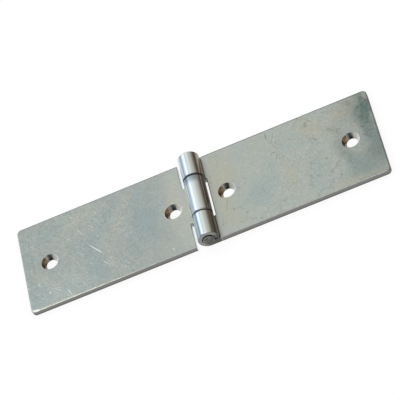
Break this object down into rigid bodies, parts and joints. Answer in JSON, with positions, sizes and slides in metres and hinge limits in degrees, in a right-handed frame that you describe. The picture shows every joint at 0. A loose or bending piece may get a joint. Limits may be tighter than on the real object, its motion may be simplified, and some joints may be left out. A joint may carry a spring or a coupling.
{
  "type": "butt hinge",
  "caption": "Zinc-plated steel butt hinge with long flat leaves, rolled knuckles on a riveted pin and countersunk screw holes.",
  "frame": {"origin": "on the plane of the leaves' backs, straight under the middle of the pin", "axes": "+X along the open leaves, towards the leaf with the two outer knuckles; +Y along the pin; +Z out of the leaves' fronts, where the barrel stands"},
  "size_m": [0.125, 0.0362, 0.0071],
  "materials": {
    "single_leaf_zinc": "bright zinc plating, blue passivated, lightly scratched",
    "double_leaf_zinc": "bright zinc plating, blue passivated, hazy",
    "pin_zinc": "zinc plated wire, hammered dull at its riveted ends"
  },
  "bodies": {
    "pinned_leaf": {"double_knuckle_leaf": "double_leaf_zinc", "hinge_pin": "pin_zinc"},
    "swinging_leaf": {"single_knuckle_leaf": "single_leaf_zinc"}
  },
  "joints": [
    {"name": "leaf_swing", "type": "hinge", "parent": "pinned_leaf", "child": "swinging_leaf", "pos_m": [0, 0, 0.00353], "axis": [0, 1, 0], "range_deg": [-90, 180]}
  ]
}
